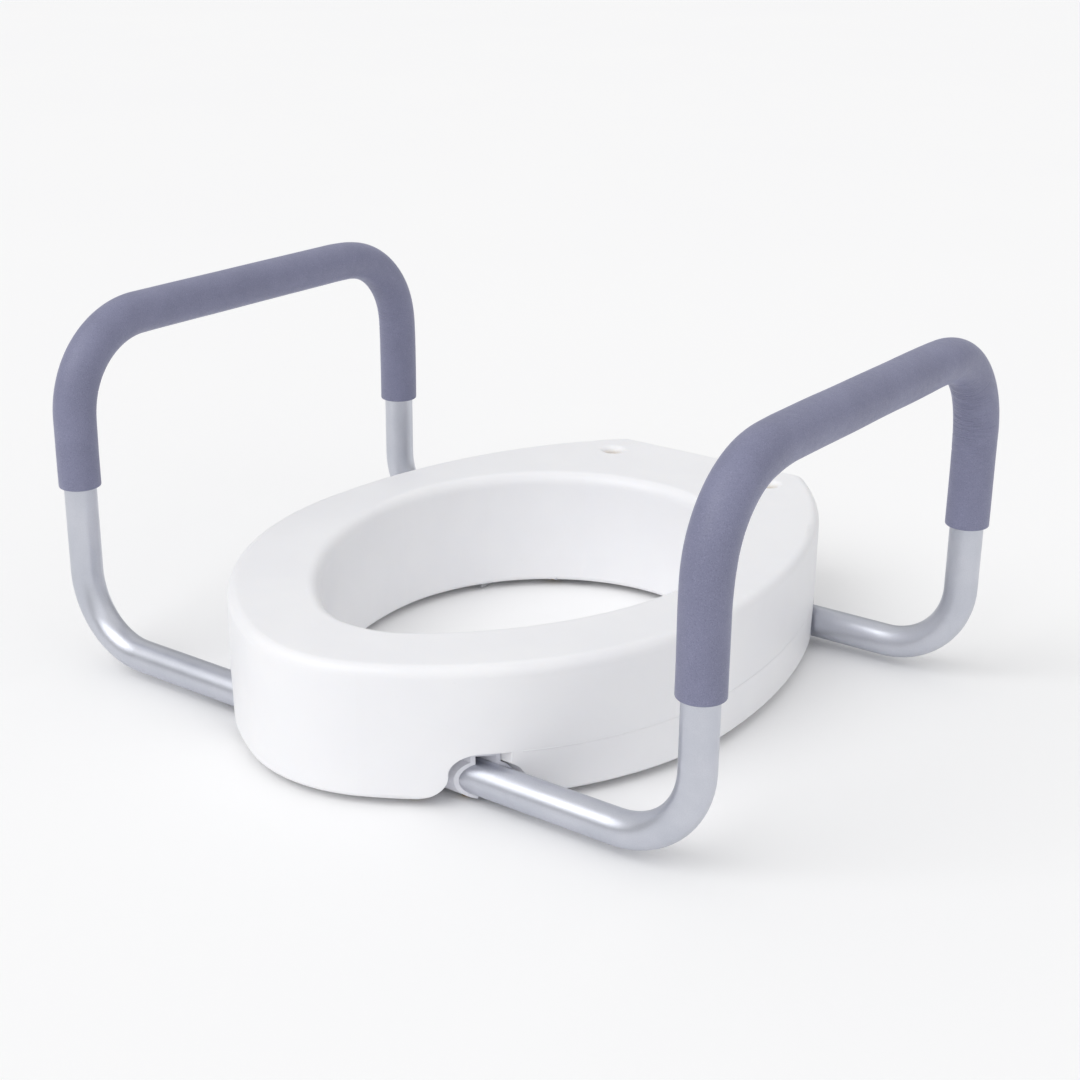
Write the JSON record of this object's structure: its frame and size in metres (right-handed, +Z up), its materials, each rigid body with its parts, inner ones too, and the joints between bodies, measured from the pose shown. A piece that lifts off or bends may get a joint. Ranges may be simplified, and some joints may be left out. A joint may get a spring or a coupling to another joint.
{
  "type": "raised toilet seat",
  "caption": "Raised toilet seat: a thick hollow moulded ring on rubber pads, with foam-gripped bent tube arms that pull out of side sockets once their snap buttons are pressed.",
  "frame": {"origin": "middle of the bounding box, at the underside of the rubber pads, where the seat rests on the bowl", "axes": "+X to the right seen from the front, +Y to the rear where the hinge bolts are, +Z up"},
  "size_m": [0.5258, 0.4836, 0.2533],
  "materials": {
    "seat_plastic": "satin blow-moulded polyethylene, white",
    "socket_plastic": "satin injection-moulded plastic, off-white",
    "tube_aluminium": "clear satin anodised tube",
    "grip_foam": "closed-cell foam, fine matt skin, lavender grey",
    "pad_rubber": "soft rubber, light grey",
    "button_zinc": "yellow zinc plated steel",
    "screw_zinc": "yellow zinc plated steel",
    "spring_steel": "bright spring steel strip"
  },
  "bodies": {
    "seat": {"seat_body": "seat_plastic", "socket_screws": "screw_zinc", "front_left_socket": "socket_plastic", "front_right_socket": "socket_plastic", "rear_left_socket": "socket_plastic", "rear_right_socket": "socket_plastic", "front_left_pad": "pad_rubber", "front_right_pad": "pad_rubber", "rear_left_pad": "pad_rubber", "rear_right_pad": "pad_rubber"},
    "left_arm": {"left_arm_tube": "tube_aluminium", "left_foam_grip": "grip_foam", "front_left_button_spring": "spring_steel", "rear_left_button_spring": "spring_steel"},
    "front_left_button_body": {"front_left_button": "button_zinc"},
    "rear_left_button_body": {"rear_left_button": "button_zinc"},
    "right_arm": {"right_arm_tube": "tube_aluminium", "right_foam_grip": "grip_foam", "front_right_button_spring": "spring_steel", "rear_right_button_spring": "spring_steel"},
    "front_right_button_body": {"front_right_button": "button_zinc"},
    "rear_right_button_body": {"rear_right_button": "button_zinc"}
  },
  "joints": [
    {"name": "left_arm_slide", "type": "slide", "parent": "seat", "child": "left_arm", "axis": [-1, 0, 0], "range_m": [0, 0.05]},
    {"name": "front_left_button_press", "type": "slide", "parent": "left_arm", "child": "front_left_button_body", "axis": [0, 0, 1], "range_m": [0, 0.0046], "stiffness_N_per_m": 1200, "springref_m": -0.003, "deforming": ["front_left_button_spring"]},
    {"name": "rear_left_button_press", "type": "slide", "parent": "left_arm", "child": "rear_left_button_body", "axis": [0, 0, 1], "range_m": [0, 0.0046], "stiffness_N_per_m": 1200, "springref_m": -0.003, "deforming": ["rear_left_button_spring"]},
    {"name": "right_arm_slide", "type": "slide", "parent": "seat", "child": "right_arm", "axis": [1, 0, 0], "range_m": [0, 0.05]},
    {"name": "front_right_button_press", "type": "slide", "parent": "right_arm", "child": "front_right_button_body", "axis": [0, 0, 1], "range_m": [0, 0.0046], "stiffness_N_per_m": 1200, "springref_m": -0.003, "deforming": ["front_right_button_spring"]},
    {"name": "rear_right_button_press", "type": "slide", "parent": "right_arm", "child": "rear_right_button_body", "axis": [0, 0, 1], "range_m": [0, 0.0046], "stiffness_N_per_m": 1200, "springref_m": -0.003, "deforming": ["rear_right_button_spring"]}
  ]
}
